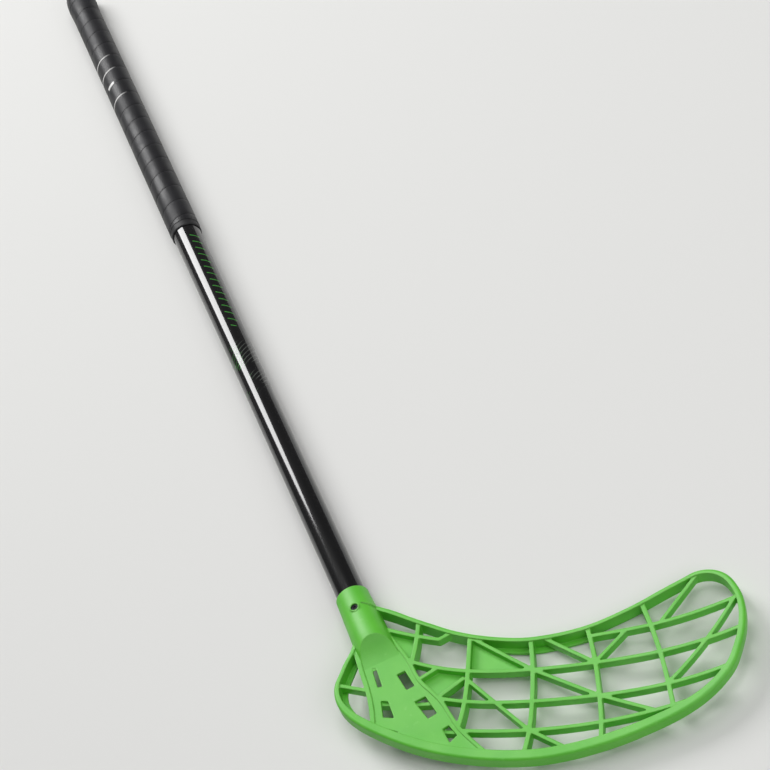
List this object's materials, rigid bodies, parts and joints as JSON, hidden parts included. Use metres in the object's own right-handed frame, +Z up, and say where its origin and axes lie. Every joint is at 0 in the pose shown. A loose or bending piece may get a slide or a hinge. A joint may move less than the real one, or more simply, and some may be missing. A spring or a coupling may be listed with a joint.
{
  "type": "floorball stick",
  "caption": "Floorball stick lying face up: hooked lattice blade with a screwed hosel on a tapered tube shaft, helical wound grip, flared knob and butt cap.",
  "frame": {"origin": "middle of the underside of the lying stick, on the floor", "axes": "+Y along the shaft from the blade to the butt, +Z up from the floor on the blade's front side, +X towards the blade's tip"},
  "size_m": [0.286, 1.0842, 0.029],
  "materials": {
    "blade_plastic": "satin moulded plastic",
    "shaft_laminate": "gloss lacquer over black laminate",
    "screw_steel": "blackened steel",
    "grip_strip": "satin foamed strip",
    "ring_rubber": "matt rubber",
    "cap_plastic": "matt"
  },
  "bodies": {
    "stick": {"blade": "blade_plastic", "shaft_tube": "shaft_laminate", "grip_wrap": "grip_strip", "grip_end_ring": "ring_rubber", "knob_collar": "grip_strip"},
    "front_screw": {"blade_screw_front": "screw_steel"},
    "back_screw": {"blade_screw_back": "screw_steel"},
    "cap": {"butt_cap": "cap_plastic"}
  },
  "joints": [
    {"name": "front_screw_out", "type": "slide", "parent": "stick", "child": "front_screw", "axis": [0, 0, 1], "range_m": [0, 0.008]},
    {"name": "back_screw_out", "type": "slide", "parent": "stick", "child": "back_screw", "axis": [0, 0, -1], "range_m": [0, 0.008]},
    {"name": "cap_pull", "type": "slide", "parent": "stick", "child": "cap", "axis": [0, 1, 0], "range_m": [0, 0.03]}
  ]
}
